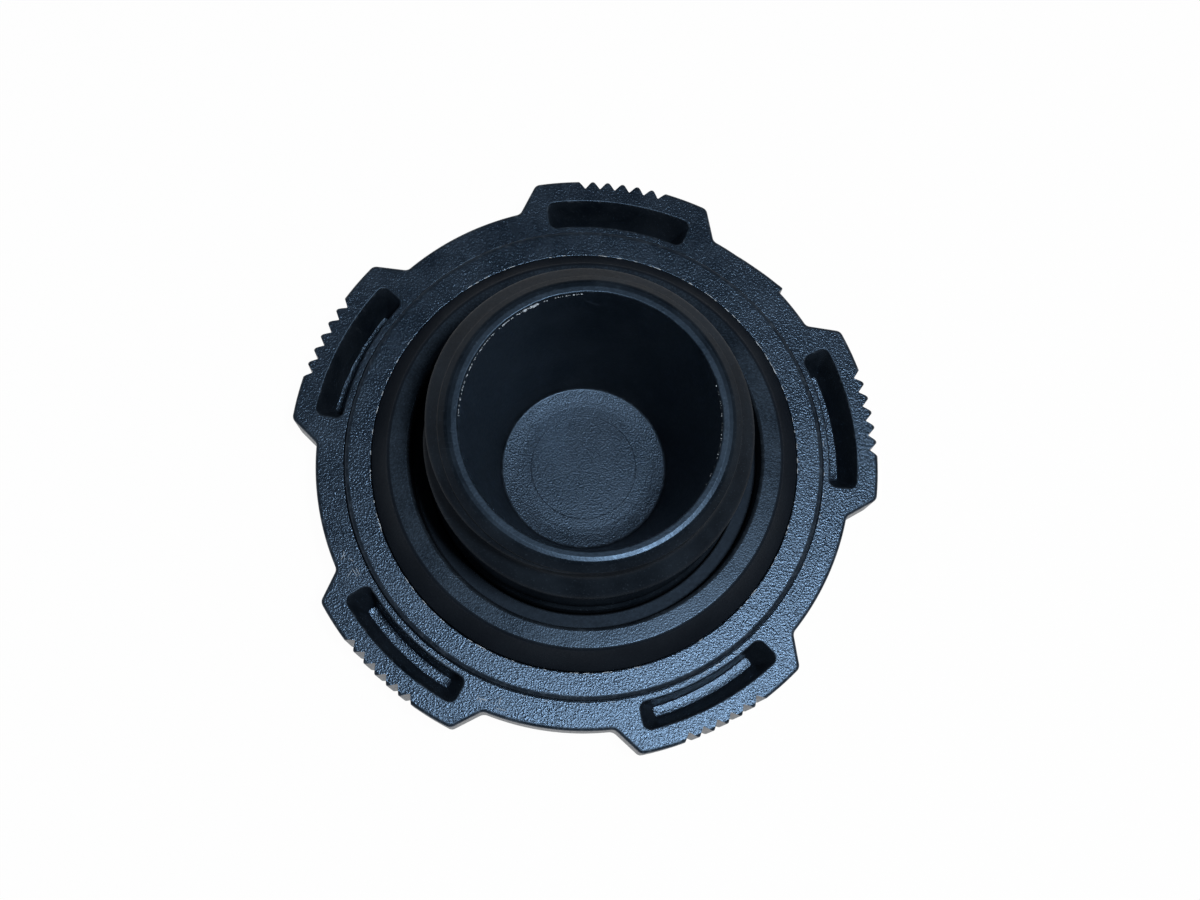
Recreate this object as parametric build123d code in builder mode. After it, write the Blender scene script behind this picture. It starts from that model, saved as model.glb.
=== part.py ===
# Oil filler cap: one moulded body (grip flange, threaded neck, cup) and its rubber seal ring.
# Millimetres, +Z up. The cap lies on its closed outer face, and its neck points up.
# The origin is on the neck's axis, on the closed outer face.
from build123d import *
import math
import os

os.makedirs("parts", exist_ok=True)

# Cup: the conical inside of the neck and its dished floor
mouth_radius = 17.55
cup_taper = 5.49
cup_floor_depth = 5.9
floor_slope_width = 2.56
floor_rise = 0.2
cut_overrun = 1.0

# Neck, from the mouth outwards and down; heights above the flange face
neck_height = 25.1
lip_crest_width = 1.65
lip_crest_drop = 0.35
lip_inner_drop = 0.06
lip_slope_width = 0.93
lip_slope_height = 1.05
lip_edge_step = 0.12
lip_edge_band = 0.5
lip_edge_bevel = 0.15
shank_height = 12.4
shank_step = 1.77
shank_shoulder = 1.5
collar_height = 4.0
collar_step = 0.5

# Thread: one right-hand ridge that grows out of the neck and fades into the shank
thread_pitch = 6.6
thread_depth = 2.44
thread_crest_width = 0.7
thread_upper_flank = 2.7
thread_lower_flank = 1.9
thread_start_drop = 2.15
thread_start_angle = -77.0
thread_sweep = 515.0
thread_lead_in = 130.0
thread_fade_out = 60.0
thread_section_step = 10.0
thread_bite = 0.6

# Seal ring section, from the collar outwards; heights above the flange face
seal_side_gap = 0.15
seal_foot_width = 2.3
seal_foot_height = 0.35
seal_wall_lean = 0.3
seal_top_width = 3.1
seal_top_height = 4.9
seal_slope_width = 2.65
seal_shoulder_height = 0.45
seal_edge_rounding = 0.45

# Annular recess that the seal ring lies in, and the raised band round it
recess_depth = 1.6
band_width = 3.85
band_step = 1.2
band_edge_rounding = 0.9
band_edge_steps = 3
band_bite = 2.0

# Blind core pockets, one in each lug
pocket_setback = 1.1
pocket_mouth_width = 3.9
pocket_mouth_half_angle = 15.8
pocket_mouth_corner = 1.05
pocket_inner_taper = 0.55
pocket_floor_width = 1.55
pocket_floor_half_angle = 12.4
pocket_floor_corner = 0.45
pocket_depth = 6.5

# Grip flange: the outline seen from the engine side, lugs and all
lug_count = 5
first_lug_angle = 90.0
rim_width = 3.12
lug_height = 3.98
lug_flank_angle = 19.0
lug_tip_half_width = 12.9
lug_tip_rounding = 1.2
lug_root_rounding = 1.1
rim_face_height = 9.8

# The side wall leans inwards towards the closed face so that the cap leaves its mould
side_draft = 2.0
outer_edge_rounding = 1.4
face_edge_rounding = 0.45
outer_edge_steps = 2
face_edge_steps = 1

# Grip teeth: V notches in the middle of each lug's tip
notch_count = 6
notch_pitch = 2.25
notch_depth = 1.15
notch_floor_width = 0.12
tooth_land = 0.3
notch_overrun = 0.8

# Locating nib on the flange's edge
nib_start_angle = 62.0
nib_end_angle = 49.6
nib_rise = 0.8
nib_height = 2.6
nib_bite = 1.0

# Radii that follow from the widths above, from the neck's axis outwards
cup_floor_radius = mouth_radius - cup_taper
floor_flat_radius = cup_floor_radius - floor_slope_width
lip_crest_radius = mouth_radius + lip_crest_width
core_radius = lip_crest_radius + lip_slope_width
thread_crest_radius = core_radius + thread_depth
shank_radius = core_radius + shank_step
collar_radius = shank_radius + collar_step
seal_wall_foot_radius = collar_radius + seal_foot_width
seal_top_inner_radius = seal_wall_foot_radius + seal_wall_lean
seal_top_outer_radius = seal_top_inner_radius + seal_top_width
recess_outer_radius = seal_top_outer_radius + seal_slope_width
band_outer_radius = recess_outer_radius + band_width
pocket_mouth_inner = band_outer_radius + pocket_setback
pocket_mouth_outer = pocket_mouth_inner + pocket_mouth_width
pocket_floor_inner = pocket_mouth_inner + pocket_inner_taper
pocket_floor_outer = pocket_floor_inner + pocket_floor_width
base_radius = pocket_mouth_inner + rim_width
lug_tip_radius = base_radius + lug_height

# Levels that follow from the heights above, from the closed outer face upwards
flange_face_height = rim_face_height + band_step
recess_floor_height = flange_face_height - recess_depth
cup_floor_height = flange_face_height - cup_floor_depth
collar_top = flange_face_height + collar_height
shank_top = flange_face_height + shank_height
neck_top = flange_face_height + neck_height
lip_crest_level = neck_top - lip_crest_drop
lip_edge_level = lip_crest_level - lip_slope_height
lip_band_foot = lip_edge_level - lip_edge_band
thread_start_level = neck_top - thread_start_drop


def polar_point(radius, angle):
    """A point of the sketch plane at a radius and an angle in degrees."""
    return (radius * math.cos(math.radians(angle)), radius * math.sin(math.radians(angle)))


def turned(point, angle):
    """The point turned about the origin by an angle in degrees."""
    c = math.cos(math.radians(angle))
    s = math.sin(math.radians(angle))
    return (point[0] * c - point[1] * s, point[0] * s + point[1] * c)


def arc_middle(centre, start, end):
    """The middle of the short arc from start to end about a centre."""
    a = math.atan2(start[1] - centre[1], start[0] - centre[0])
    b = math.atan2(end[1] - centre[1], end[0] - centre[0])
    half = (b - a + math.pi) % (2 * math.pi) - math.pi
    radius = math.hypot(start[0] - centre[0], start[1] - centre[1])
    return (centre[0] + radius * math.cos(a + half / 2), centre[1] + radius * math.sin(a + half / 2))


def stepped_edge(centre, radius, steps):
    """Points of a convex quarter round about a centre, from the outside to the top."""
    turns = [90.0 * step / steps for step in range(steps + 1)]
    return [(centre[0] + polar_point(radius, t)[0], centre[1] + polar_point(radius, t)[1]) for t in turns]


def half_lug(inset):
    """Key points of one lug's upper half, lug along +X, all walls moved inwards by the inset."""
    tip = lug_tip_radius - inset
    base = base_radius - inset
    round_out = max(lug_tip_rounding - inset, 0.35)
    round_in = lug_root_rounding + inset
    normal = (math.sin(math.radians(lug_flank_angle)), math.cos(math.radians(lug_flank_angle)))
    along = (normal[1], -normal[0])
    tip_x = math.sqrt(lug_tip_radius**2 - lug_tip_half_width**2)
    wall = normal[0] * tip_x + normal[1] * lug_tip_half_width - inset
    reach = math.sqrt((tip - round_out) ** 2 - (wall - round_out) ** 2)
    corner = [(wall - round_out) * normal[i] + reach * along[i] for i in (0, 1)]
    on_tip = [corner[i] * tip / (tip - round_out) for i in (0, 1)]
    flank_outer = [corner[i] + round_out * normal[i] for i in (0, 1)]
    reach = math.sqrt((base + round_in) ** 2 - (wall + round_in) ** 2)
    root = [(wall + round_in) * normal[i] + reach * along[i] for i in (0, 1)]
    on_base = [root[i] * base / (base + round_in) for i in (0, 1)]
    flank_inner = [root[i] - round_in * normal[i] for i in (0, 1)]
    corner_middle = arc_middle(corner, on_tip, flank_outer)
    root_middle = arc_middle(root, flank_inner, on_base)
    return [on_tip, corner_middle, flank_outer, flank_inner, root_middle, on_base]


def flange_section(height, inset):
    """The flange's outline as a face at a height, with its walls moved inwards by the inset."""
    points = half_lug(inset)
    pitch = 360.0 / lug_count
    gap_middle = polar_point(base_radius - inset, pitch / 2)
    with BuildSketch(Plane.XY.offset(height)) as section:
        with BuildLine():
            for index in range(lug_count):
                angle = first_lug_angle + index * pitch
                upper = [turned(point, angle) for point in points]
                lower = [turned((point[0], -point[1]), angle) for point in points]
                next_base = turned((points[5][0], -points[5][1]), angle + pitch)
                # Tip arc, then each side: corner, straight flank and root, and the arc to the next lug
                ThreePointArc(lower[0], polar_point(lug_tip_radius - inset, angle), upper[0])
                for side in (upper, lower):
                    ThreePointArc(side[0], side[1], side[2])
                    Line(side[2], side[3])
                    ThreePointArc(side[3], side[4], side[5])
                ThreePointArc(upper[5], turned(gap_middle, angle), next_base)
        make_face()
    return section.sketch


def curved_slot(plane, inner, outer, half_angle, corner):
    """A face between two arcs, centred on the first lug, with rounded corners."""
    low = first_lug_angle - half_angle
    high = first_lug_angle + half_angle
    with BuildSketch(plane) as slot:
        with BuildLine():
            CenterArc((0, 0), outer, low, 2 * half_angle)
            Line(polar_point(outer, high), polar_point(inner, high))
            CenterArc((0, 0), inner, low, 2 * half_angle)
            Line(polar_point(inner, low), polar_point(outer, low))
        make_face()
        fillet(slot.vertices(), corner)
    return slot.sketch


def thread_section(angle):
    """The ridge's section at an angle along the thread, in its own radial plane."""
    growth = min(1.0, angle / thread_lead_in, (thread_sweep - angle) / thread_fade_out)
    growth = max(growth, 0.02)
    crest = core_radius + thread_depth * growth
    root = core_radius - thread_bite
    # The thread runs down from the neck's tip as it turns clockwise seen from above
    turn = math.radians(thread_start_angle - angle)
    middle = thread_start_level - thread_pitch * angle / 360.0
    upper = thread_upper_flank * growth * (1 + thread_bite / thread_depth)
    lower = thread_lower_flank * growth * (1 + thread_bite / thread_depth)
    half_crest = thread_crest_width / 2 * (0.4 + 0.6 * growth)
    plane = Plane(
        origin=(0, 0, middle),
        x_dir=(math.cos(turn), math.sin(turn), 0),
        z_dir=(math.sin(turn), -math.cos(turn), 0),
    )
    with BuildSketch(plane) as section:
        with BuildLine():
            Polyline(
                (root, -half_crest - lower),
                (crest, -half_crest),
                (crest, half_crest),
                (root, half_crest + upper),
                close=True,
            )
        make_face()
    return section.sketch


# Grip flange: sections from the closed outer face up to the rim face, edges rounded in steps
wall_lean = math.tan(math.radians(side_draft))
with BuildPart() as flange:
    for step in range(outer_edge_steps + 1):
        turn = math.radians(90.0 * step / outer_edge_steps)
        level = outer_edge_rounding * (1 - math.cos(turn))
        inset = outer_edge_rounding * (1 - math.sin(turn)) + (rim_face_height - level) * wall_lean
        add(flange_section(level, inset))
    for step in range(face_edge_steps + 1):
        turn = math.radians(90.0 * step / face_edge_steps)
        level = rim_face_height - face_edge_rounding * (1 - math.sin(turn))
        inset = face_edge_rounding * (1 - math.cos(turn)) + (rim_face_height - level) * wall_lean
        add(flange_section(level, inset))
    loft(ruled=True)

# One tool for a core pocket, from its mouth to its floor
with BuildPart() as pocket_tool:
    add(
        curved_slot(
            Plane.XY.offset(rim_face_height),
            pocket_mouth_inner,
            pocket_mouth_outer,
            pocket_mouth_half_angle,
            pocket_mouth_corner,
        )
    )
    add(
        curved_slot(
            Plane.XY.offset(rim_face_height - pocket_depth),
            pocket_floor_inner,
            pocket_floor_outer,
            pocket_floor_half_angle,
            pocket_floor_corner,
        )
    )
    loft(ruled=True)

# One tool for all V notches of the first lug
with BuildPart() as notch_tool:
    with BuildSketch():
        for index in range(notch_count):
            step_angle = math.degrees(notch_pitch / lug_tip_radius)
            angle = first_lug_angle + (index - (notch_count - 1) / 2) * step_angle
            half_open = (notch_pitch - tooth_land) / 2
            half_past = half_open * (1 + notch_overrun / notch_depth)
            floor_x = lug_tip_radius - notch_depth
            past_x = lug_tip_radius + notch_overrun
            corners = [
                (floor_x, -notch_floor_width / 2),
                (past_x, -half_past),
                (past_x, half_past),
                (floor_x, notch_floor_width / 2),
            ]
            with BuildLine():
                Polyline(*[turned(corner, angle) for corner in corners], close=True)
            make_face()
    extrude(amount=rim_face_height + notch_overrun)

# Thread ridge, a smooth skin over its sections
with BuildPart() as thread_ridge:
    steps = int(round(thread_sweep / thread_section_step))
    for index in range(steps + 1):
        add(thread_section(thread_sweep * index / steps))
    loft()

with BuildPart() as cap_body:
    add(flange.part)

    # Raised band, neck and recess as one turned section
    round_centre = (band_outer_radius - band_edge_rounding, flange_face_height - band_edge_rounding)
    with BuildSketch(Plane.XZ):
        with BuildLine():
            Polyline(
                (0, rim_face_height - band_bite),
                (band_outer_radius, rim_face_height - band_bite),
                *stepped_edge(round_centre, band_edge_rounding, band_edge_steps),
                (recess_outer_radius, flange_face_height),
                (recess_outer_radius, recess_floor_height),
                (collar_radius, recess_floor_height),
                (collar_radius, collar_top - collar_step),
                (shank_radius, collar_top),
                (shank_radius, shank_top - shank_shoulder),
                (core_radius, shank_top),
                (core_radius, lip_band_foot),
                (core_radius + lip_edge_step, lip_band_foot + lip_edge_bevel),
                (core_radius + lip_edge_step, lip_edge_level),
                (lip_crest_radius, lip_crest_level),
                ((lip_crest_radius + mouth_radius) / 2, neck_top - lip_inner_drop / 2),
                (mouth_radius, neck_top - lip_inner_drop),
                (0, neck_top - lip_inner_drop),
                close=True,
            )
        make_face()
    revolve(axis=Axis.Z)
    add(thread_ridge.part)

    # Recess floor is cut through the flange below the rim face too
    with BuildSketch(Plane.XY.offset(recess_floor_height)):
        Circle(recess_outer_radius)
        Circle(collar_radius, mode=Mode.SUBTRACT)
    extrude(amount=recess_depth, mode=Mode.SUBTRACT)

    # Cup: a cone down to the dished floor
    with BuildSketch(Plane.XZ):
        with BuildLine():
            Polyline(
                (0, cup_floor_height),
                (floor_flat_radius, cup_floor_height),
                (cup_floor_radius, cup_floor_height + floor_rise),
                (mouth_radius, neck_top),
                (mouth_radius, neck_top + cut_overrun),
                (0, neck_top + cut_overrun),
                close=True,
            )
        make_face()
    revolve(axis=Axis.Z, mode=Mode.SUBTRACT)

    # Core pockets and grip teeth on every lug
    with PolarLocations(0, lug_count):
        add(pocket_tool.part, mode=Mode.SUBTRACT)
    with PolarLocations(0, lug_count):
        add(notch_tool.part, mode=Mode.SUBTRACT)

    # Locating nib: a ramp that ends in a step
    with BuildSketch(Plane.XY.offset(rim_face_height)):
        with BuildLine():
            Polyline(
                polar_point(base_radius - nib_bite, nib_start_angle),
                polar_point(base_radius, nib_start_angle),
                polar_point(base_radius + nib_rise * 0.3, nib_end_angle + 7.5),
                polar_point(base_radius + nib_rise * 0.8, nib_end_angle + 1.8),
                polar_point(base_radius + nib_rise, nib_end_angle + 0.2),
                polar_point(base_radius + nib_rise * 0.85, nib_end_angle),
                polar_point(base_radius - nib_bite, nib_end_angle + 0.3),
                close=True,
            )
        make_face()
    extrude(amount=-nib_height)

cap_body.part.label = "cap_body"

with BuildPart() as seal_ring:
    with BuildSketch(Plane.XZ) as seal_section:
        with BuildLine():
            Polyline(
                (collar_radius + seal_side_gap, recess_floor_height),
                (recess_outer_radius - seal_side_gap, recess_floor_height),
                (recess_outer_radius - seal_side_gap, flange_face_height + seal_shoulder_height),
                (seal_top_outer_radius, flange_face_height + seal_top_height),
                (seal_top_inner_radius, flange_face_height + seal_top_height),
                (seal_wall_foot_radius, flange_face_height + seal_foot_height),
                (collar_radius + seal_side_gap, flange_face_height + seal_foot_height),
                close=True,
            )
        make_face()
        top_corners = seal_section.vertices().sort_by(Axis.Y)[-2:]
        chamfer(top_corners, seal_edge_rounding)
    revolve(axis=Axis.Z)

seal_ring.part.label = "seal_ring"

export_step(cap_body.part, "parts/cap_body.step")
export_step(seal_ring.part, "parts/seal_ring.step")
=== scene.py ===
# Looks of the oil filler cap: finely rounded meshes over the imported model, materials, light
# and camera. Shapes are worked out in millimetres, and Shell.build turns them into metres.
import math
import bmesh
import bpy
import numpy as np
from mathutils import Matrix, Vector
from mathutils.geometry import delaunay_2d_cdt


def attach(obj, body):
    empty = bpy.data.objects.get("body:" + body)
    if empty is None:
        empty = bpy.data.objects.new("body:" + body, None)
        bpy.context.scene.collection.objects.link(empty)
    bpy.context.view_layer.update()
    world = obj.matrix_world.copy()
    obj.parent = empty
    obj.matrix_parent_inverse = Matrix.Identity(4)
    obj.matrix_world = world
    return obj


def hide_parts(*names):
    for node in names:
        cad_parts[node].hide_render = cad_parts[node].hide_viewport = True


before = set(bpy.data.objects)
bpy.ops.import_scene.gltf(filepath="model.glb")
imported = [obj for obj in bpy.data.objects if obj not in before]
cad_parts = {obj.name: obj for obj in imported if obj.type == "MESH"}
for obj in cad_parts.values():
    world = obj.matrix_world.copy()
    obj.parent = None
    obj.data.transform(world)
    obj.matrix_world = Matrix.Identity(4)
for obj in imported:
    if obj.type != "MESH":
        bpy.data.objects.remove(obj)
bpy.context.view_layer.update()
MM = 0.001

# Sizes, as in the part's source
MOUTH_R = 17.55
CUP_FLOOR_R = 12.06
LIP_CREST_R = 19.2
CORE_R = 20.13
SHANK_R = 21.9
COLLAR_R = 22.4
SEAL_FOOT_R = 24.7
SEAL_TOP_IN_R = 25.0
SEAL_TOP_OUT_R = 28.1
SEAL_GAP = 0.15
RECESS_R = 30.75
BAND_R = 34.6
POCKET_IN, POCKET_OUT, POCKET_HALF, POCKET_CORNER = 35.7, 39.6, 15.8, 1.05
PFLOOR_IN, PFLOOR_OUT, PFLOOR_HALF, PFLOOR_CORNER = 36.25, 37.8, 12.4, 0.45
POCKET_DEPTH = 6.5
BASE_R = 38.82
TIP_R = 42.8
FLANK_ANGLE = 19.0
TIP_HALF_WIDTH = 12.9
TIP_ROUND, ROOT_ROUND = 1.2, 1.1
RIM_Z = 9.8
FACE_Z = 11.0
RECESS_Z = 9.4
CUP_FLOOR_Z = 5.1
FLOOR_RISE = 0.2
COLLAR_Z = 15.0
SHANK_Z = 23.4
SHOULDER = 1.5
NECK_Z = 36.1
LIP_CREST_Z = 35.75
LIP_EDGE_Z = 34.7
LIP_FOOT_Z = 34.2
LIP_STEP = 0.12
OUTER_ROUND = 1.4
FACE_ROUND = 0.45
DRAFT = math.tan(math.radians(2.0))
NOTCHES, NOTCH_PITCH, NOTCH_FLOOR_R, NOTCH_FLOOR_HALF = 6, 2.25, 41.65, 0.06
NOTCH_DEPTH = 1.15
TOOTH_TIP = 0.3
NOTCH_SLOPE = ((NOTCH_PITCH - TOOTH_TIP) / 2 - NOTCH_FLOOR_HALF) / NOTCH_DEPTH
THREAD_PITCH, THREAD_DEPTH, THREAD_CREST = 6.6, 2.44, 0.7
THREAD_UP, THREAD_DOWN = 2.7, 1.9
THREAD_Z, THREAD_START, THREAD_SWEEP = 33.95, -77.0, 515.0
THREAD_LEAD, THREAD_FADE = 130.0, 60.0
# The locating nib on the flange's edge: angle and how far it stands out
NIB = [(62.0, 0.0), (57.1, 0.24), (51.4, 0.64), (49.8, 0.8), (49.62, 0.68), (49.5, 0.0)]
NIB_FOOT_Z = 7.2
LUGS, FIRST_LUG = 5, 90.0
LUG_PITCH = 360.0 / LUGS

# Sizes of the finer forms that only this script has
CUP_TOP_Z, CUP_FALL = 36.04, 30.74  # the cup's cone starts under the lip and falls this far
CUP_TAPER = MOUTH_R - CUP_FLOOR_R
SEAM_R, SEAM_OUT_R, SEAM_IN_R = 34.65, 34.78, 34.68  # groove round the raised band
SEAM_Z, SEAM_FOOT_Z = 9.52, 9.56
BAND_EDGE = 0.7
DISH_R, DISH_FOOT_R, FLAT_R = 10.0, 9.55, 9.2  # the cup's floor dishes inwards to a flat
DISH_Z = 5.135
GATE_R, GATE_HALF, GATE_RISE = 7.7, 0.08, 0.03  # the ejector's ring mark on the flat
CENTRE_R = 3.0
SEAL_SIDE_RISE, SEAL_RISE, SEAL_LIFT = 0.45, 4.9, 0.35  # over the flange face

# How the meshes are divided and rounded
COLUMNS = 360  # points in a turned row
NECK_STEP = 0.28  # height between the neck's rows
SHARP_ANGLE = 38.0  # edges above this angle are shaded sharp
STRAIGHT = 0.02  # a corner that turns less than this, in radians, isn't rounded
LEG_SHARE = 0.46  # how much of a leg one rounding may take
ARC_STEP = 24.0  # degrees in one step of a rounding
SHEEN_AND_WEAR_REACH = 0.07  # how far the edge wear and painted sheen run out past a rounding
SHEEN_AND_WEAR_LEAST = 0.012  # the shortest such run that gets a row of its own
SLIVER_ROOT = 0.02  # how deep a raised line is sunk in its face

rng = np.random.default_rng(11)

# Materials' places in the cap's list
ROUGH, SMOOTH, SATIN, SCUFF_AND_GLINT, FLOOR, NECK = 0, 1, 2, 3, 4, 5
# Materials' places in the seal's list
SIDE, TOP = 0, 1


def polar(radius, degrees):
    a = math.radians(degrees)
    return np.array([radius * math.cos(a), radius * math.sin(a)])


def rotation(degrees):
    a = math.radians(degrees)
    return np.array([[math.cos(a), -math.sin(a)], [math.sin(a), math.cos(a)]])


def turned_to(points, degrees):
    a = math.radians(degrees)
    rot = np.array([[math.cos(a), -math.sin(a), 0], [math.sin(a), math.cos(a), 0], [0, 0, 1]])
    return points @ rot.T


def inside(point, loop):
    """Even-odd test of a point against a closed loop."""
    x, y = point[0], point[1]
    x0, y0 = loop[:, 0], loop[:, 1]
    x1, y1 = np.roll(x0, -1), np.roll(y0, -1)
    crosses = (y0 > y) != (y1 > y)
    with np.errstate(divide="ignore", invalid="ignore"):
        at = x0 + (y - y0) * (x1 - x0) / (y1 - y0)
    return bool(np.count_nonzero(crosses & (x < at)) % 2)


class Shell:
    """Collects rings of points and the faces between them, then makes one mesh object."""

    def __init__(self):
        self.points, self.worn, self.faces, self.zones = [], [], [], []
        self.count = 0

    def ring(self, points, worn=0.0):
        """Adds points with their edge wear and painted sheen, from 0 to 1, and gives back their
        indices.
        """
        points = np.asarray(points, float)
        self.points.append(points)
        wear_and_sheen_amount = np.full(len(points), worn) if np.isscalar(worn) else np.asarray(worn, float)
        self.worn.append(wear_and_sheen_amount)
        self.count += len(points)
        return np.arange(self.count - len(points), self.count)

    def face(self, corners, zone):
        self.faces.append(tuple(corners))
        self.zones.append(zone)

    def bridge(self, a, b, zone):
        n = len(a)
        for i in range(n):
            j = (i + 1) % n
            self.face((a[i], a[j], b[j], b[i]), zone)

    def fan(self, ring, centre, zone):
        c = self.ring([centre])[0]
        n = len(ring)
        for i in range(n):
            self.face((ring[i], ring[(i + 1) % n], c), zone)

    def fill(self, outer, holes, zone):
        """Triangles of a flat face between an outer ring and holes, with the rings' own points."""
        every = np.concatenate(self.points)
        loops = [outer] + list(holes)
        flat, edges, source = [], [], []
        for loop in loops:
            start = len(flat)
            for k, index in enumerate(loop):
                flat.append(Vector((every[index][0], every[index][1])))
                source.append(int(index))
                edges.append((start + k, start + (k + 1) % len(loop)))
        made = delaunay_2d_cdt(flat, edges, [], 0, 1e-7, True)
        corners, tris, origin = made[0], made[2], made[3]
        border, *cut_outs = [every[loop][:, :2] for loop in loops]
        for tri in tris:
            mid = sum((corners[i] for i in tri), Vector((0, 0))) / 3
            if inside(mid, border) and not any(inside(mid, hole) for hole in cut_outs):
                self.face((source[origin[i][0]] for i in tri), zone)

    def sliver(self, line, half, rise, zone):
        """A fine raised line with closed, pinched ends along points that lie on a level face."""
        line = np.asarray(line, float)
        root = np.array([0, 0, SLIVER_ROOT])
        rows = []
        for i in range(1, len(line) - 1):
            along = line[i + 1] - line[i - 1]
            side = np.array([-along[1], along[0], 0.0])
            side *= half / max(float(np.linalg.norm(side)), 1e-9)
            low = line[i] - root
            rows.append(self.ring([low + side, line[i] + [0, 0, rise], low - side]))
        ends = [self.ring([line[k] - root])[0] for k in (0, -1)]
        for a, b in zip(rows, rows[1:]):
            self.bridge(a, b, zone)
        for end, row in ((ends[0], rows[0]), (ends[1], rows[-1])):
            for i in range(3):
                self.face((end, row[i], row[(i + 1) % 3]), zone)

    def fleck(self, centre, size, zone):
        """A tiny irregular flake of eight faces."""
        tips = np.array(
            [[1, 0, 0], [0, 1, 0], [-1, 0, 0], [0, -1, 0], [0, 0, 1], [0, 0, -1]], float
        )
        tips *= size * rng.uniform(0.5, 1.3, (6, 1))
        ids = self.ring(tips + centre)
        for i in range(4):
            self.face((ids[i], ids[(i + 1) % 4], ids[4]), zone)
            self.face((ids[(i + 1) % 4], ids[i], ids[5]), zone)

    def build(self, name, materials):
        mesh = bpy.data.meshes.new(name)
        points = np.concatenate(self.points) * MM
        mesh.from_pydata(points.tolist(), [], [tuple(int(i) for i in f) for f in self.faces])
        mesh.update()
        worn = mesh.attributes.new("worn", "FLOAT", "POINT")
        worn.data.foreach_set("value", np.concatenate(self.worn).astype(np.float32))
        for m in materials:
            mesh.materials.append(m)
        mesh.polygons.foreach_set("material_index", np.array(self.zones, np.int32))
        obj = bpy.data.objects.new(name, mesh)
        bpy.context.scene.collection.objects.link(obj)
        bm = bmesh.new()
        bm.from_mesh(mesh)
        bmesh.ops.recalc_face_normals(bm, faces=bm.faces)
        if bm.calc_volume(signed=True) < 0:
            bmesh.ops.reverse_faces(bm, faces=bm.faces)
        bm.to_mesh(mesh)
        bm.free()
        mesh.shade_smooth()
        mesh.set_sharp_from_angle(angle=math.radians(SHARP_ANGLE))
        return obj


def arc_around(centre, start, end):
    """Radius, first angle and signed sweep of the shorter arc from start to end."""
    first = math.atan2(*(start - centre)[::-1])
    last = math.atan2(*(end - centre)[::-1])
    sweep = (last - first + math.pi) % (2 * math.pi) - math.pi
    return np.linalg.norm(start - centre), first, sweep


def rounded(corners, closed=False):
    """A section to be turned, with its corners rounded.

    Corners are (radius, height, rounding, zone of the face that follows), and the points that
    come back are (radius, height, edge wear and painted sheen, zone of the face that follows).
    """
    out = []
    n = len(corners)
    for i, (r, z, rounding, zone) in enumerate(corners):
        if not closed and i in (0, n - 1):
            out.append((r, z, 0.0, zone))
            continue
        here = np.array([r, z])
        before = np.array(corners[i - 1][:2]) - here
        after = np.array(corners[(i + 1) % n][:2]) - here
        lb, la = np.linalg.norm(before), np.linalg.norm(after)
        before, after = before / lb, after / la
        angle = math.acos(max(-1.0, min(1.0, float(before @ after))))
        turn = math.pi - angle
        if turn < STRAIGHT:
            out.append((r, z, 0.0, zone))
            continue
        reach = min(rounding * math.tan(turn / 2), lb * LEG_SHARE, la * LEG_SHARE)
        radius = reach / math.tan(turn / 2)
        steps = max(2, int(math.ceil(math.degrees(turn) / ARC_STEP)))
        bisector = (before + after) / np.linalg.norm(before + after)
        centre = here + bisector * radius / math.sin(angle / 2)
        _, a0, sweep = arc_around(centre, here + before * reach, here + after * reach)
        # Rounded corners get edge wear and painted sheen: the material mixes them paler, less on
        # the smooth neck and cup
        worn = 0.3 if zone in (SMOOTH, NECK) else 0.8
        lead = min(SHEEN_AND_WEAR_REACH, (lb * 0.5 - reach) * 0.8)
        tail = min(SHEEN_AND_WEAR_REACH, (la * 0.5 - reach) * 0.8)
        last = corners[i - 1][3]
        if lead > SHEEN_AND_WEAR_LEAST:
            out.append((*(here + before * (reach + lead)), 0.0, last))
        for s in range(steps + 1):
            a = a0 + sweep * s / steps
            p = centre + radius * np.array([math.cos(a), math.sin(a)])
            out.append((p[0], p[1], worn, last if s < steps else zone))
        if tail > SHEEN_AND_WEAR_LEAST:
            out.append((*(here + after * (reach + tail)), 0.0, zone))
    return out


def smooth_max(a, b, k):
    h = np.maximum(k - np.abs(a - b), 0.0) / k
    return np.maximum(a, b) + h * h * k / 4


def smooth_min(a, b, k):
    return -smooth_max(-a, -b, k)


def neck_radius(height, degrees):
    """Radius of the neck's outside, thread and all, at a height for an array of angles."""
    blend = 0.35  # rounding of the shoulder and of the ridge's foot
    least = 0.004  # share of the full depth below which there is no ridge
    eased = 0.35  # share of the growth that starts and ends softly
    first_width = 0.4  # width of the crest where the ridge begins, as a share of the full width
    slope = CORE_R + (SHANK_Z - height) * (SHANK_R - CORE_R) / SHOULDER
    shank = smooth_min(np.array(SHANK_R), np.array(slope), blend)
    wall = smooth_max(np.array(CORE_R), shank, blend)
    radius = np.full(len(degrees), float(wall))
    for turn in (0, 1):
        along = (THREAD_START - degrees) % 360.0 + 360.0 * turn
        growth = np.minimum(along / THREAD_LEAD, (THREAD_SWEEP - along) / THREAD_FADE)
        growth = np.minimum(1.0, growth)
        live = growth > least
        growth = np.clip(growth, least, 1.0)
        growth = growth * growth * (3 - 2 * growth) * eased + growth * (1 - eased)
        crest = CORE_R + THREAD_DEPTH * growth
        middle = THREAD_Z - THREAD_PITCH * along / 360.0
        half = THREAD_CREST / 2 * (first_width + (1 - first_width) * growth)
        up = crest - (height - middle - half) * THREAD_DEPTH / THREAD_UP
        down = crest - (middle - half - height) * THREAD_DEPTH / THREAD_DOWN
        soft = 0.45 * growth + 0.01
        ridge = smooth_min(smooth_min(up, down, soft), crest, soft * 0.7)
        radius = np.where(live, smooth_max(radius, ridge, blend * growth + 0.01), radius)
    return radius


def arc_points(centre, start, end, steps):
    radius, first, sweep = arc_around(centre, start, end)
    turns = [first + sweep * s / steps for s in range(steps + 1)]
    return [centre + radius * np.array([math.cos(t), math.sin(t)]) for t in turns]


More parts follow.
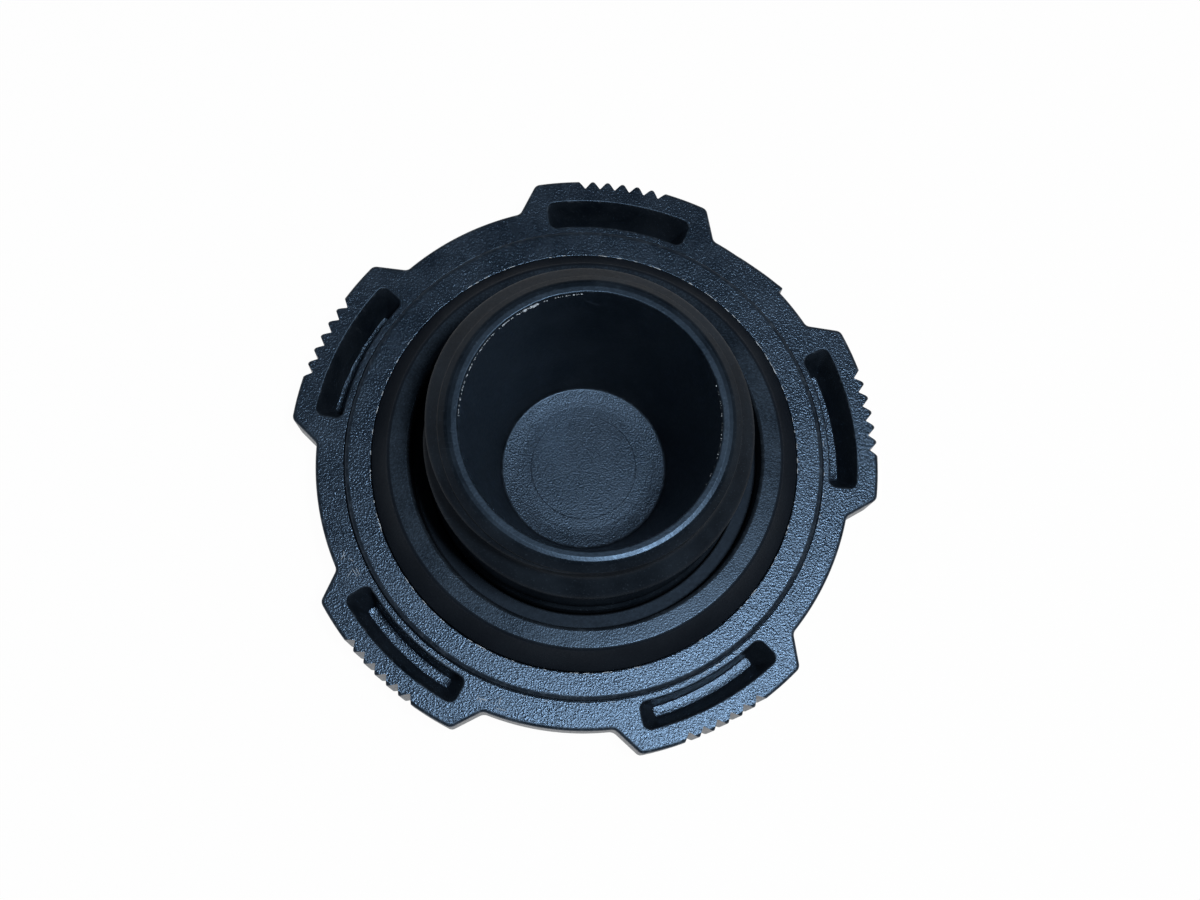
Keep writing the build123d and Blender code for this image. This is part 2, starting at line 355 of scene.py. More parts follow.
def lug_side(inset):
    """Upper half of a lug along +X, from the tip's middle to its root, without the base arc."""
    least_round = 0.35
    arc_steps = 6
    tip, base = TIP_R - inset, BASE_R - inset
    out_r, in_r = max(TIP_ROUND - inset, least_round), ROOT_ROUND + inset
    normal = np.array([math.sin(math.radians(FLANK_ANGLE)), math.cos(math.radians(FLANK_ANGLE))])
    along = np.array([normal[1], -normal[0]])
    corner_x = math.sqrt(TIP_R**2 - TIP_HALF_WIDTH**2)
    wall = normal @ np.array([corner_x, TIP_HALF_WIDTH]) - inset
    to_corner = math.sqrt((tip - out_r) ** 2 - (wall - out_r) ** 2)
    to_root = math.sqrt((base + in_r) ** 2 - (wall + in_r) ** 2)
    corner = (wall - out_r) * normal + to_corner * along
    root = (wall + in_r) * normal + to_root * along
    on_tip = corner * tip / (tip - out_r)
    points = []
    step = math.degrees(NOTCH_PITCH / TIP_R)
    depth = max(tip - NOTCH_FLOOR_R, 0.0)
    floor = min(NOTCH_FLOOR_R, tip)
    half = NOTCH_FLOOR_HALF + depth * NOTCH_SLOPE
    k = depth / NOTCH_DEPTH
    # Half a notch as (radius, half width), from its mouth's soft edge to its floor
    side = [
        (tip - 0.004 * k, half + 0.075 * k),
        (tip - 0.05 * k, half),
        (tip - 0.17 * k, half - 0.11 * k),
        (floor + 0.15 * k, NOTCH_FLOOR_HALF + 0.15 * k * NOTCH_SLOPE),
        (floor + 0.045 * k, NOTCH_FLOOR_HALF + 0.03 * k),
        (floor, 0.0),
    ]
    notch = [np.array([x, -y]) for x, y in side] + [np.array(p) for p in side[-2::-1]]
    for index in range(NOTCHES // 2):
        rot = rotation((index + 0.5) * step)
        points += [rot @ p for p in notch]
    last = math.degrees(math.atan2(points[-1][1], points[-1][0]))
    end = math.degrees(math.atan2(on_tip[1], on_tip[0]))
    points += [polar(tip, last + (end - last) * t) for t in (0.2, 0.4, 0.6, 0.8)]
    points += arc_points(corner, on_tip, corner + out_r * normal, arc_steps)
    flank = [corner + out_r * normal, root - in_r * normal]
    points += [flank[0] + (flank[1] - flank[0]) * t for t in (0.33, 0.66)]
    points += arc_points(root, flank[1], root * base / (base + in_r), arc_steps)
    return points


def outline(inset, height, nib=False):
    """The flange's closed outline at a height as points in the same order for every inset."""
    base_points = 26
    nib_clearance = 0.3  # no other point comes nearer than this, in degrees, to one of the nib's
    half = lug_side(inset)
    lower = [p * [1, -1] for p in half[::-1]]
    base = BASE_R - inset
    root_turn = math.degrees(math.atan2(half[-1][1], half[-1][0]))
    nib_turns, nib_heights = zip(*NIB[::-1])
    out = []
    for index in range(LUGS):
        angle = FIRST_LUG + index * LUG_PITCH
        rot = rotation(angle)
        out += [rot @ p for p in lower + half]
        turns = np.linspace(root_turn + angle, LUG_PITCH - root_turn + angle, base_points)
        turns = list(turns[1:-1])
        with_nib = index == LUGS - 1
        if with_nib:
            marks = [t + 360.0 for t, _ in NIB]
            turns = [t for t in turns if min(abs(t - m) for m in marks) > nib_clearance]
            turns = sorted(turns + marks)
        for t in turns:
            extra = 0.0
            if nib and with_nib:
                extra = float(np.interp(t - 360.0, nib_turns, nib_heights))
            out.append(polar(base + extra, t))
    return np.column_stack([np.array(out), np.full(len(out), height)])


def slot_loop(t, height, grow):
    """A core pocket's contour on the first lug's axis, from its mouth (t 0) to its floor (t 1)."""
    middle_r = 37.5
    least_corner, most_corner = 0.12, 0.48  # the second as a share of the pocket's width
    arc_count, corner_count = 13, 8
    inner = POCKET_IN + (PFLOOR_IN - POCKET_IN) * t - grow
    outer = POCKET_OUT + (PFLOOR_OUT - POCKET_OUT) * t + grow
    half = POCKET_HALF + (PFLOOR_HALF - POCKET_HALF) * t + math.degrees(grow / middle_r)
    corner = max(POCKET_CORNER + (PFLOOR_CORNER - POCKET_CORNER) * t + grow, least_corner)
    corner = min(corner, (outer - inner) * most_corner)
    a_out = half - math.degrees(math.asin(corner / (outer - corner)))
    a_in = half - math.degrees(math.asin(corner / (inner + corner)))
    side = half + 90
    upper = [polar(outer, a) for a in np.linspace(0, a_out, arc_count)[:-1]]
    centre = polar(outer - corner, a_out)
    for p in np.linspace(0, side - a_out, corner_count):
        upper.append(centre + polar(corner, a_out + p))
    centre = polar(inner + corner, a_in)
    for p in np.linspace(side - a_in, 180, corner_count):
        upper.append(centre + polar(corner, a_in + p))
    upper += [polar(inner, a) for a in np.linspace(a_in, 0, arc_count)[1:]]
    lower = [p * [1, -1] for p in upper[-2:0:-1]]
    points = np.array(upper + lower)
    return np.column_stack([points, np.full(len(points), height)])


def plastic(name, colour, pale, roughness, rough_spread, grain, grain_depth, specular, wear_and_sheen_amount, scuff):
    """Black glass-filled nylon or rubber: grain, faint mottling, worn edges with painted sheen, and
    scuffs.

    The colour turns towards the pale one where the surface is mottled, flecked or scratched, and
    on rounded edges, where the paler colour is edge wear and painted sheen together. Grain sizes
    are in millimetres.
    """
    mat = bpy.data.materials.new(name)
    mat.use_nodes = True
    tree = mat.node_tree
    links = tree.links
    bsdf = tree.nodes["Principled BSDF"]
    bsdf.inputs["Specular IOR Level"].default_value = specular
    bsdf.inputs["IOR"].default_value = 1.52
    bsdf.inputs["Specular Tint"].default_value = (0.42, 0.66, 1.0, 1)
    where = tree.nodes.new("ShaderNodeTexCoord")
    scale = tree.nodes.new("ShaderNodeVectorMath")
    scale.operation = "SCALE"
    scale.inputs["Scale"].default_value = 1000.0
    links.new(where.outputs["Object"], scale.inputs[0])
    mm = scale.outputs[0]

    def noise(size, detail=2.0, rough=0.5, distort=0.0):
        n = tree.nodes.new("ShaderNodeTexNoise")
        n.inputs["Scale"].default_value = 1.0 / size
        n.inputs["Detail"].default_value = detail
        n.inputs["Roughness"].default_value = rough
        n.inputs["Distortion"].default_value = distort
        links.new(mm, n.inputs["Vector"])
        return n.outputs["Fac"]

    def ramp(value, low, high, to_low=0.0, to_high=1.0):
        n = tree.nodes.new("ShaderNodeMapRange")
        n.inputs["From Min"].default_value = low
        n.inputs["From Max"].default_value = high
        n.inputs["To Min"].default_value = to_low
        n.inputs["To Max"].default_value = to_high
        links.new(value, n.inputs["Value"])
        return n.outputs["Result"]

    def math_node(kind, a, b):
        n = tree.nodes.new("ShaderNodeMath")
        n.operation = kind
        for socket, v in ((n.inputs[0], a), (n.inputs[1], b)):
            if isinstance(v, (int, float)):
                socket.default_value = v
            else:
                links.new(v, socket)
        return n.outputs[0]

    def add(a, b):
        return math_node("ADD", a, b)

    def times(a, b):
        return math_node("MULTIPLY", a, b)

    # Edge wear and painted sheen: rounded edges, broken up by chips, turn towards the pale colour
    worn = tree.nodes.new("ShaderNodeAttribute")
    worn.attribute_name = "worn"
    chips = ramp(noise(size=0.9, detail=4.0, rough=0.7), low=0.52, high=0.66)
    edge = times(worn.outputs["Fac"], chips)
    mottle = ramp(noise(size=7.0, detail=3.0, rough=0.6), low=0.3, high=0.75)
    flecks = ramp(noise(size=grain * 0.8, detail=1.0), low=0.62, high=0.78)
    scratched = ramp(noise(size=11.0, distort=0.6), low=0.56, high=0.72)
    # Long fine scratches: noise stretched one way, kept to patches
    stretch = tree.nodes.new("ShaderNodeMapping")
    stretch.inputs["Rotation"].default_value = (0.0, 0.0, 0.7)
    stretch.inputs["Scale"].default_value = (0.12, 4.0, 0.3)
    links.new(mm, stretch.inputs["Vector"])
    lines = tree.nodes.new("ShaderNodeTexNoise")
    lines.inputs["Scale"].default_value = 1.0
    lines.inputs["Detail"].default_value = 2.0
    links.new(stretch.outputs[0], lines.inputs["Vector"])
    scratches = times(ramp(lines.outputs["Fac"], low=0.64, high=0.7), scratched)

    colour_mix = tree.nodes.new("ShaderNodeMix")
    colour_mix.data_type = "RGBA"
    colour_mix.inputs["A"].default_value = (*colour, 1)
    colour_mix.inputs["B"].default_value = (*pale, 1)
    amount = add(times(mottle, 0.25), times(flecks, 0.35))
    amount = add(amount, times(edge, wear_and_sheen_amount))
    amount = add(amount, times(scratches, scuff))
    top = tree.nodes.new("ShaderNodeClamp")
    links.new(amount, top.inputs["Value"])
    links.new(top.outputs[0], colour_mix.inputs["Factor"])
    links.new(colour_mix.outputs["Result"], bsdf.inputs["Base Color"])

    fine = noise(size=grain * 1.5, detail=3.0, rough=0.6)
    gloss = ramp(fine, 0.3, 0.7, roughness - rough_spread, roughness + rough_spread)
    links.new(add(gloss, times(mottle, 0.05)), bsdf.inputs["Roughness"])

    # Spark-eroded grain: small pits and bumps, on top of a finer noise
    cells = tree.nodes.new("ShaderNodeTexVoronoi")
    cells.inputs["Scale"].default_value = 1.0 / grain
    cells.inputs["Randomness"].default_value = 1.0
    links.new(mm, cells.inputs["Vector"])
    pits = times(cells.outputs["Distance"], 0.6)
    bumps = add(pits, noise(size=grain * 0.9, detail=3.0, rough=0.65))
    bumps = math_node("SUBTRACT", bumps, times(scratches, 0.35))
    bump = tree.nodes.new("ShaderNodeBump")
    bump.inputs["Strength"].default_value = 1.0
    bump.inputs["Distance"].default_value = grain_depth * MM
    links.new(bumps, bump.inputs["Height"])
    links.new(bump.outputs[0], bsdf.inputs["Normal"])
    return mat


rough_face = plastic(
    "grained_nylon", colour=(0.0045, 0.008, 0.014), pale=(0.05, 0.068, 0.095),
    roughness=0.22, rough_spread=0.04, grain=0.30, grain_depth=0.045,
    specular=0.62, wear_and_sheen_amount=0.9, scuff=0.5,
)
smooth_face = plastic(
    "smooth_nylon", colour=(0.003, 0.005, 0.008), pale=(0.04, 0.055, 0.075),
    roughness=0.32, rough_spread=0.05, grain=0.34, grain_depth=0.008,
    specular=0.4, wear_and_sheen_amount=0.5, scuff=0.3,
)
neck_face = plastic(
    "neck_nylon", colour=(0.003, 0.005, 0.008), pale=(0.04, 0.055, 0.075),
    roughness=0.42, rough_spread=0.06, grain=0.34, grain_depth=0.008,
    specular=0.05, wear_and_sheen_amount=0.3, scuff=0.3,
)
satin_face = plastic(
    "satin_nylon", colour=(0.0035, 0.006, 0.010), pale=(0.05, 0.065, 0.085),
    roughness=0.36, rough_spread=0.06, grain=0.32, grain_depth=0.03,
    specular=0.4, wear_and_sheen_amount=0.6, scuff=0.4,
)
floor_face = plastic(
    "cup_floor_nylon", colour=(0.004, 0.007, 0.012), pale=(0.045, 0.06, 0.085),
    roughness=0.26, rough_spread=0.05, grain=0.26, grain_depth=0.04,
    specular=0.36, wear_and_sheen_amount=0.6, scuff=0.6,
)
# Pale, glossy nylon for fine raised marks: real scratches and scuffs on the rim face, and painted
# glints and painted highlight dashes at the mouth's edge and round the band
scuffs_and_glints = plastic(
    "scuffed_and_glinting_nylon", colour=(0.48, 0.54, 0.6), pale=(0.65, 0.7, 0.75),
    roughness=0.3, rough_spread=0.05, grain=0.3, grain_depth=0.01,
    specular=0.8, wear_and_sheen_amount=0.2, scuff=0.2,
)
# The seal's rubber in two copies: the top mixes towards a paler colour than the side, as painted
# light on the top and painted shade on the side; the top is also glossier
rubber_side = plastic(
    "seal_rubber_shaded_side", colour=(0.0045, 0.006, 0.009), pale=(0.02, 0.026, 0.034),
    roughness=0.45, rough_spread=0.06, grain=0.35, grain_depth=0.006,
    specular=0.12, wear_and_sheen_amount=0.1, scuff=0.2,
)
rubber_top = plastic(
    "seal_rubber_lit_top", colour=(0.004, 0.006, 0.009), pale=(0.045, 0.06, 0.08),
    roughness=0.24, rough_spread=0.06, grain=0.26, grain_depth=0.014,
    specular=0.36, wear_and_sheen_amount=0.3, scuff=0.6,
)


def quarter(radius, angles):
    """Offsets from a sharp corner's two faces to points along its quarter rounding."""
    for degrees in angles:
        turn = math.radians(degrees)
        yield radius * (1 - math.cos(turn)), radius * (1 - math.sin(turn))


def drafted(level):
    """How far the draft has drawn the flange's wall in at a level below the rim face."""
    return (RIM_Z - level) * DRAFT


# Flange: loops of the outline up the wall, as (height, inset, with the nib, edge wear and painted
# sheen)
cap = Shell()
rows = []
for level, inset in quarter(OUTER_ROUND, [90.0 * step / 7 for step in range(8)]):
    rows.append((level, inset + drafted(level), False, 0.5))
for level in (4.2, NIB_FOOT_Z - 0.12, NIB_FOOT_Z):
    rows.append((level, drafted(level), False, 0.0))
for level in (NIB_FOOT_Z + 0.05, 9.2):
    rows.append((level, drafted(level), True, 0.0))
for inset, drop in quarter(FACE_ROUND, (0, 22, 42, 60, 76, 90)):
    rows.append((RIM_Z - drop, inset + drafted(RIM_Z - drop), True, 1.0))
rows.append((RIM_Z, FACE_ROUND + 0.06, True, 0.2))
loops = []
for index, (level, inset, nib, worn) in enumerate(rows):
    loops.append(cap.ring(outline(inset, level, nib), worn))
    if index:
        cap.bridge(loops[-2], loops[-1], SATIN)
cap.fill(loops[0], [], SATIN)

# Core pockets, from the rim face down, as (share of the depth, growth, height, edge wear and
# painted sheen)
POCKET_EDGE, POCKET_FOOT = 0.2, 0.12
steps = [(0.0, POCKET_EDGE + 0.06, RIM_Z, 0.1)]
for drop, grow in quarter(POCKET_EDGE, (0, 25, 50, 72, 90)):
    steps.append((0.0, grow, RIM_Z - drop, 1.0))
for t in (0.06, 0.3, 0.6, 0.93):
    steps.append((t, 0.0, RIM_Z - POCKET_DEPTH * t, 0.0))
for shrink, rise in quarter(POCKET_FOOT, (0, 30, 60, 90)):
    steps.append((1 - rise / POCKET_DEPTH, -shrink, RIM_Z - POCKET_DEPTH + rise, 0.2))
holes = []
for lug in range(LUGS):
    rings = []
    for k, (t, grow, level, worn) in enumerate(steps):
        loop = turned_to(slot_loop(t, level, grow), FIRST_LUG + lug * LUG_PITCH)
        rings.append(cap.ring(loop, worn))
        if k:
            cap.bridge(rings[-2], rings[-1], SATIN if k < len(steps) - 2 else ROUGH)
    cap.fill(rings[-1], [], ROUGH)
    holes.append(rings[0])

# Everything turned: band, recess, collar, neck with its thread, lip and cup
theta = np.arange(COLUMNS) * 360.0 / COLUMNS
cosines, sines = np.cos(np.radians(theta)), np.sin(np.radians(theta))


def wave(count, span):
    """Smooth random values round the circle, up to the span either way."""
    keys = rng.uniform(-1, 1, count)
    at = theta / 360.0 * count
    low = np.floor(at).astype(int)
    f = at - low
    f = f * f * (3 - 2 * f)
    return span * (keys[low % count] * (1 - f) + keys[(low + 1) % count] * f)


lower = rounded(
    [
        (35.0, RIM_Z, 0.0, ROUGH),
        (SEAM_OUT_R, RIM_Z, 0.06, SMOOTH),
        (SEAM_IN_R, SEAM_Z, 0.05, SMOOTH),
        (BAND_R, SEAM_FOOT_Z, 0.05, SATIN),
        (BAND_R, FACE_Z, BAND_EDGE, ROUGH),
        (RECESS_R, FACE_Z, 0.12, SMOOTH),
        (RECESS_R, RECESS_Z, 0.1, SMOOTH),
        (COLLAR_R, RECESS_Z, 0.15, NECK),
        (COLLAR_R, COLLAR_Z - 0.5, 0.22, NECK),
        (SHANK_R, COLLAR_Z, 0.16, NECK),
        (SHANK_R, COLLAR_Z + 0.3, 0.0, NECK),
    ]
)
# The neck's rows have no radius of their own: neck_radius gives it
neck_levels = np.arange(COLLAR_Z + 0.45, LIP_FOOT_Z - 0.15, NECK_STEP)
neck = [(0.0, z, 0.0, NECK) for z in neck_levels]
cone = [
    (MOUTH_R - CUP_TAPER * t, CUP_TOP_Z - CUP_FALL * t, 0.01, SMOOTH)
    for t in (0.012, 0.04, 0.1, 0.3, 0.6, 0.9)
]
upper = rounded(
    [
        (CORE_R, LIP_FOOT_Z - 0.1, 0.0, NECK),
        (CORE_R, LIP_FOOT_Z, 0.04, NECK),
        (CORE_R + LIP_STEP, LIP_FOOT_Z + 0.15, 0.05, NECK),
        (CORE_R + LIP_STEP, LIP_EDGE_Z, 0.14, NECK),
        (LIP_CREST_R, LIP_CREST_Z + 0.17, 0.8, SMOOTH),
        ((LIP_CREST_R + MOUTH_R) / 2, NECK_Z - 0.03, 0.5, SMOOTH),
        (MOUTH_R, NECK_Z - 0.06, 0.4, SMOOTH),
        *cone,
        (CUP_FLOOR_R, CUP_FLOOR_Z + FLOOR_RISE, 0.35, FLOOR),
        (DISH_R, DISH_Z, 0.2, FLOOR),
        (DISH_FOOT_R, CUP_FLOOR_Z + 0.02, 0.1, FLOOR),
        (FLAT_R, CUP_FLOOR_Z, 0.2, FLOOR),
        (GATE_R + GATE_HALF, CUP_FLOOR_Z, 0.04, FLOOR),
        (GATE_R, CUP_FLOOR_Z + GATE_RISE, 0.03, FLOOR),
        (GATE_R - GATE_HALF, CUP_FLOOR_Z, 0.04, FLOOR),
        (CENTRE_R, CUP_FLOOR_Z, 0.0, FLOOR),
    ]
)
seam = wave(97, 0.035)
ragged = wave(150, 0.03)
hole_ring, previous, zone_before = None, None, ROUGH
for r, z, worn, zone in lower + neck + upper:
    radius = np.full(COLUMNS, r, float)
    if r == 0.0:
        radius = neck_radius(z, theta)
    elif COLLAR_Z + 0.2 < z < LIP_EDGE_Z + 0.3 and r > LIP_CREST_R:
        radius = np.maximum(radius, neck_radius(z, theta))
    if RECESS_Z < z < RIM_Z and abs(r - SEAM_R) < 0.15:
        radius = radius + seam
    if z > NECK_Z - 0.3 and abs(r - MOUTH_R) < 0.2:
        radius = radius + ragged * (worn > 0)
    height = np.full(COLUMNS, z, float)
    ring = cap.ring(np.column_stack([radius * cosines, radius * sines, height]), worn)
    if hole_ring is None:
        hole_ring = ring
    else:
        cap.bridge(previous, ring, zone_before)
    previous, zone_before = ring, zone
cap.fan(previous, (0.0, 0.0, CUP_FLOOR_Z), FLOOR)
cap.fill(loops[-1], [hole_ring] + holes, ROUGH)


def straight(x0, y0, x1, y1, z, count=5):
    return [(x0 + (x1 - x0) * t, y0 + (y1 - y0) * t, z) for t in np.linspace(0, 1, count)]


def arc(radius, start, end, z):
    count = max(5, int(abs(end - start) / 1.5) + 2)
    return [(*polar(radius, a), z) for a in np.linspace(start, end, count)]


def mouth_glints(count, turns, level, spread, sizes):
    """Pale flakes strewn along the mouth's inner edge as painted glints."""
    for _ in range(count):
        at = rng.uniform(*turns)
        z = level + rng.normal(0, spread)
        radius = MOUTH_R - CUP_TAPER * (CUP_TOP_Z - z) / CUP_FALL - 0.01
        cap.fleck(np.array([*polar(radius, at), z]), rng.uniform(*sizes), SCUFF_AND_GLINT)


def highlight_dashes(count, turns, spans, radius, wander, z, half, rise):
    """Short pieces of pale line along a circle, as painted highlight."""
    for _ in range(count):
        at = rng.uniform(*turns)
        span = rng.uniform(*spans)
        line = arc(radius + rng.uniform(*wander), at, at + span, z)
        cap.sliver(line, half, rise, SCUFF_AND_GLINT)


# Painted glints: pale flakes in three stretches along the mouth's inner edge
mouth_glints(count=110, turns=(101, 187), level=35.5, spread=0.05, sizes=(0.07, 0.13))
mouth_glints(count=26, turns=(121.5, 128.5), level=35.45, spread=0.12, sizes=(0.13, 0.24))
mouth_glints(count=34, turns=(-22, 24), level=35.6, spread=0.05, sizes=(0.05, 0.09))

# Painted highlights: a broken light line along the band's inner edge, and short pale dashes on the
# seam round the band
highlight_dashes(
    count=110, turns=(0, 360), spans=(0.5, 2.6), radius=RECESS_R + 0.09,
    wander=(-0.03, 0.05), z=FACE_Z - 0.01, half=0.06, rise=0.035,
)
highlight_dashes(
    count=26, turns=(-100, 20), spans=(0.5, 2.0), radius=BAND_R + 0.3,
    wander=(-0.03, 0.12), z=RIM_Z, half=0.05, rise=0.03,
)

# Witness lines of the mould on the rim face: round the ends of pockets, and plain arcs
WITNESS_GAP, WITNESS_FROM = 0.62, 14.2  # beside the pocket, and degrees from the lug's middle
for lug, side in ((0, -1), (4, 1), (4, -1), (1, -1)):
    angle = FIRST_LUG + lug * LUG_PITCH
    loop = turned_to(slot_loop(0.0, RIM_Z, WITNESS_GAP), angle)
    turns = np.degrees(np.arctan2(loop[:, 1], loop[:, 0]) - math.radians(angle))
    turns = (turns + 180.0) % 360.0 - 180.0
    cap.sliver(loop[turns * side > WITNESS_FROM], 0.05, 0.025, SATIN)
WITNESS_ARCS = (
    (36.5, -9, -27),
    (35.35, -9, -27),
    (37.6, -150, -161),
    (36.2, -148, -163),
    (37.2, 52, 66),
)
for radius, start, end in WITNESS_ARCS:
    cap.sliver(arc(radius, start, end, RIM_Z), 0.06, 0.025, SATIN)

# Cross-hatched scratches beside a pocket: only those that lie wholly on the rim face stay
HATCH_X, HATCH_Y = (-14.0, -6.2), (-38.6, -35.8)
HATCH_NEAR, HATCH_FAR, HATCH_TURN = 35.4, 38.1, -109.2
for _ in range(34):
    x, y = rng.uniform(*HATCH_X), rng.uniform(*HATCH_Y)
    length = rng.uniform(0.6, 2.4)
    if rng.uniform() < 0.5:
        ends = (x - length / 2, y + 0.05 * length, x + length / 2, y - 0.04 * length)
    else:
        ends = (x, y - length * 0.45, x + 0.08 * length, y + length * 0.45)
    line = straight(*ends, RIM_Z)
    reach = [math.hypot(p[0], p[1]) for p in line]
    turns = [math.degrees(math.atan2(p[1], p[0])) for p in line]
    if min(turns) > HATCH_TURN and min(reach) > HATCH_NEAR and max(reach) < HATCH_FAR:
        cap.sliver(line, rng.uniform(0.035, 0.07), 0.03, SCUFF_AND_GLINT)

# Single scratches on the rim face at the lower left, from (x, y) to (x, y)
SCRATCHES = (
    (-30.9, -19.9, -29.6, -21.4),
    (-30.4, -19.7, -29.3, -21.2),
    (-32.6, -19.4, -32.0, -17.8),
    (-31.3, -21.7, -30.6, -20.2),
    (-32.4, -17.6, -31.9, -19.2),
    (-31.6, -18.6, -30.4, -19.3),
)
for ends in SCRATCHES:
    cap.sliver(straight(*ends, RIM_Z), 0.05, 0.03, SCUFF_AND_GLINT)

# A row of short slanting ticks along the foot of the band
TICK_TOP_R = 35.45
for at in np.arange(-113.0, -127.0, -0.42):
    r0 = rng.uniform(35.1, 35.25)
    tick = [(*polar(r0 + (TICK_TOP_R - r0) * t, at - 0.5 * t), RIM_Z) for t in (0, 0.5, 1)]
    cap.sliver(tick, 0.05, 0.025, SCUFF_AND_GLINT)

# Fine ridges on the cup's floor, an arc mark and short scratches, in the darker smooth finish as
# painted shade along them
FLOOR_MARKS = (
    [(-4.6, 5.0), (-2.2, 6.4), (0.9, 7.3)],
    [(1.5, 2.5), (2.1, 2.1), (2.6, 1.7)],
    [(-5.1, -8.1), (-4.5, -8.6), (-3.9, -8.9)],
    [(5.1, -7.9), (5.9, -7.5), (6.6, -7.0)],
)
for mark in FLOOR_MARKS:
    cap.sliver([(x, y, CUP_FLOOR_Z) for x, y in mark], 0.07, 0.05, SMOOTH)

# In the order of ROUGH, SMOOTH, SATIN, SCUFF_AND_GLINT, FLOOR and NECK
cap_looks = [rough_face, smooth_face, satin_face, scuffs_and_glints, floor_face, neck_face]
cap_piece = cap.build("cap_moulding", cap_looks)
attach(cap_piece, "root")
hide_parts("cap_body")

# Seal ring: one lathe-turned rubber section
seal = Shell()
section = rounded(
    [
        (COLLAR_R + SEAL_GAP, RECESS_Z, 0.08, SIDE),
        (RECESS_R - SEAL_GAP, RECESS_Z, 0.08, SIDE),
        (RECESS_R - SEAL_GAP, FACE_Z + SEAL_SIDE_RISE, 0.28, SIDE),
        (SEAL_TOP_OUT_R, FACE_Z + SEAL_RISE, 0.6, TOP),
        (SEAL_TOP_IN_R, FACE_Z + SEAL_RISE, 0.5, SIDE),
        (SEAL_FOOT_R, FACE_Z + SEAL_LIFT, 0.3, SIDE),
        (COLLAR_R + SEAL_GAP, FACE_Z + SEAL_LIFT, 0.2, SIDE),
    ],
    closed=True,
)
first, previous, zone_before = None, None, SIDE
for r, z, worn, zone in section:
    ring = seal.ring(np.column_stack([r * cosines, r * sines, np.full(COLUMNS, z)]), worn)
    if first is None:
        first = ring
    else:
        seal.bridge(previous, ring, zone_before)
    previous, zone_before = ring, zone
seal.bridge(previous, first, zone_before)
seal_piece = seal.build("seal_moulding", [rubber_side, rubber_top])
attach(seal_piece, "root")
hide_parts("seal_ring")

# Camera, fitted to the photograph: angles in degrees, picture places in its pixels
TILT, ROLL, TURN = 12.574, 9.857, 2.0
PHOTO_WIDTH, PHOTO_CENTRE, FACE_CENTRE = 1200, (600, 450), (584.763, 459.476)
FOCAL_PX, DISTANCE = 1976.314, 0.285
SENSOR = 36
rx = Matrix.Rotation(math.radians(-TILT), 3, "X")
rz = Matrix.Rotation(math.radians(-ROLL), 3, "Z")
rt = Matrix.Rotation(math.radians(TURN), 3, "Z")
from_camera = (rz @ rx @ rt).transposed()
cam_data = bpy.data.cameras.new("camera")
cam = bpy.data.objects.new("camera", cam_data)
bpy.context.scene.collection.objects.link(cam)
bpy.context.scene.camera = cam
right = (FACE_CENTRE[0] - PHOTO_CENTRE[0]) / FOCAL_PX * DISTANCE
down = (FACE_CENTRE[1] - PHOTO_CENTRE[1]) / FOCAL_PX * DISTANCE
cam.location = Vector((0, 0, FACE_Z * MM)) - from_camera @ Vector((right, -down, -DISTANCE))
cam.rotation_mode = "QUATERNION"
cam.rotation_quaternion = from_camera.to_quaternion()
cam_data.sensor_width = SENSOR
cam_data.lens = FOCAL_PX * SENSOR / PHOTO_WIDTH
cam_data.clip_start = 0.01

# Floor: white to camera, glossy and transmission rays, and a plain grey that takes the cap's
# shadow to all others. It lies just under the closed face, so that the two don't coincide.
FLOOR_Z, FLOOR_HALF = -0.0001, 20
FLOOR_GREY, FLOOR_WHITE, WHITE_SHARE = 0.35, 1.02, 0.96
mesh = bpy.data.meshes.new("floor")
sides = ((-1, -1), (1, -1), (1, 1), (-1, 1))
mesh.from_pydata([(x * FLOOR_HALF, y * FLOOR_HALF, FLOOR_Z) for x, y in sides], [], [(0, 1, 2, 3)])
floor = bpy.data.objects.new("floor", mesh)
bpy.context.scene.collection.objects.link(floor)
fm = bpy.data.materials.new("floor")
fm.use_nodes = True
tree = fm.node_tree
diffuse = tree.nodes["Principled BSDF"]
diffuse.inputs["Base Color"].default_value = (FLOOR_GREY, FLOOR_GREY, FLOOR_GREY, 1)
diffuse.inputs["Roughness"].default_value = 0.9
glow = tree.nodes.new("ShaderNodeEmission")
glow.inputs["Strength"].default_value = FLOOR_WHITE
mix = tree.nodes.new("ShaderNodeMixShader")
path = tree.nodes.new("ShaderNodeLightPath")
seen = tree.nodes.new("ShaderNodeMath")
seen.operation = "MAXIMUM"
tree.links.new(path.outputs["Is Camera Ray"], seen.inputs[0])
tree.links.new(path.outputs["Is Glossy Ray"], seen.inputs[1])
either = tree.nodes.new("ShaderNodeMath")
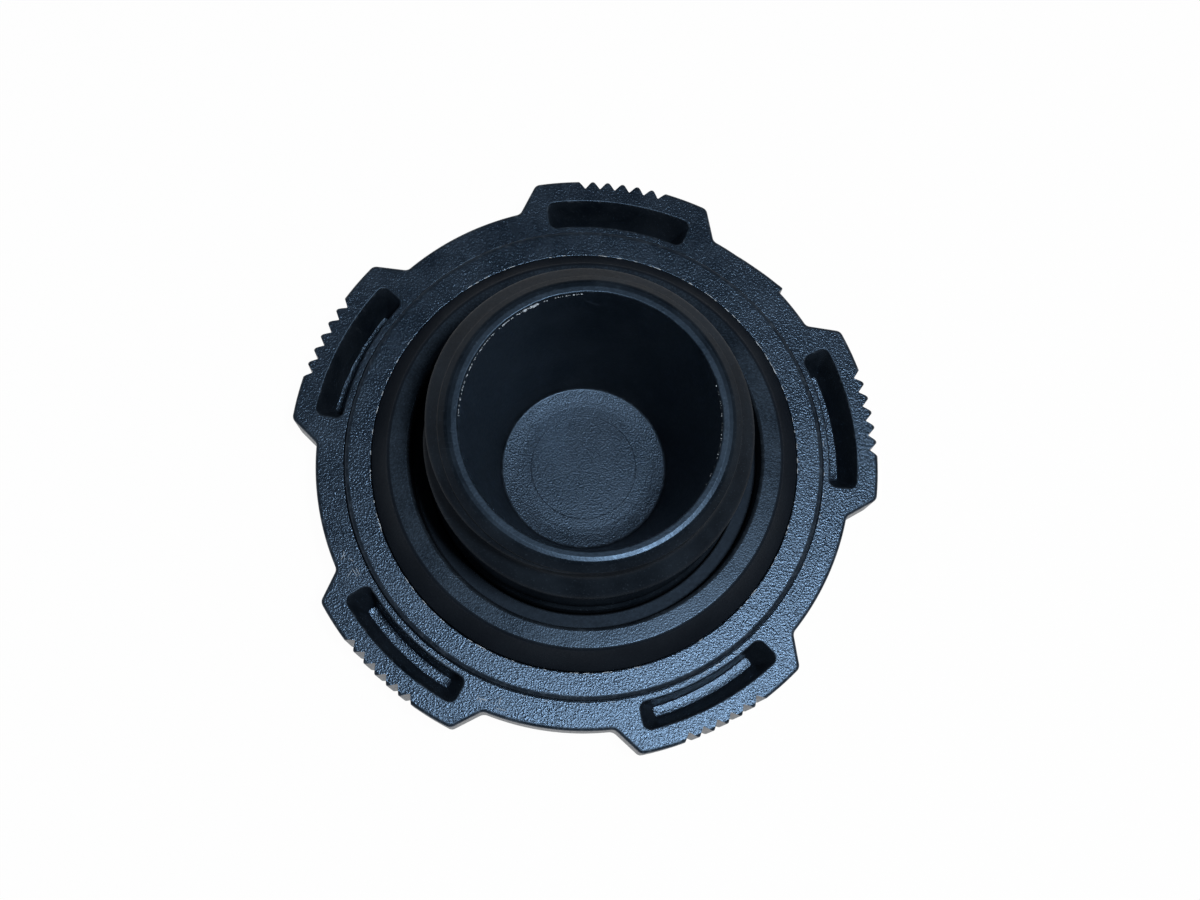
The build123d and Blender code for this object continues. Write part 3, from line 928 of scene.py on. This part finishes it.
either.operation = "MAXIMUM"
tree.links.new(seen.outputs[0], either.inputs[0])
tree.links.new(path.outputs["Is Transmission Ray"], either.inputs[1])
part = tree.nodes.new("ShaderNodeMath")
part.operation = "MULTIPLY"
part.inputs[1].default_value = WHITE_SHARE
tree.links.new(either.outputs[0], part.inputs[0])
tree.links.new(part.outputs[0], mix.inputs[0])
tree.links.new(diffuse.outputs[0], mix.inputs[1])
tree.links.new(glow.outputs[0], mix.inputs[2])
tree.links.new(mix.outputs[0], tree.nodes["Material Output"].inputs["Surface"])
mesh.materials.append(fm)

# World: a dim, slightly blue sky that is brighter near the horizon
HORIZON_LIGHT, TOP_LIGHT, TOP_FROM = 0.4, 0.045, 0.8
world = bpy.data.worlds.new("world")
bpy.context.scene.world = world
world.use_nodes = True
tree = world.node_tree
back = tree.nodes["Background"]
back.inputs[0].default_value = (0.82, 0.91, 1, 1)
where = tree.nodes.new("ShaderNodeTexCoord")
split = tree.nodes.new("ShaderNodeSeparateXYZ")
fall = tree.nodes.new("ShaderNodeMapRange")
fall.interpolation_type = "SMOOTHSTEP"
fall.inputs["From Min"].default_value = 0.0
fall.inputs["From Max"].default_value = TOP_FROM
fall.inputs["To Min"].default_value = HORIZON_LIGHT
fall.inputs["To Max"].default_value = TOP_LIGHT
tree.links.new(where.outputs["Generated"], split.inputs[0])
tree.links.new(split.outputs["Z"], fall.inputs["Value"])
tree.links.new(fall.outputs["Result"], back.inputs[1])


def lamp(name, location, power, size, colour):
    """A square lamp that faces the cap."""
    data = bpy.data.lights.new(name, "AREA")
    data.energy = power
    data.size = size
    data.color = colour
    obj = bpy.data.objects.new(name, data)
    obj.location = location
    aim = Vector((0, 0, 0.01)) - Vector(location)
    obj.rotation_euler = aim.to_track_quat("-Z", "Y").to_euler()
    bpy.context.scene.collection.objects.link(obj)


lamp("key", (0.082, -0.045, 0.45), power=1.7, size=0.055, colour=(0.95, 0.98, 1.0))

bpy.context.scene.view_settings.view_transform = "Standard"
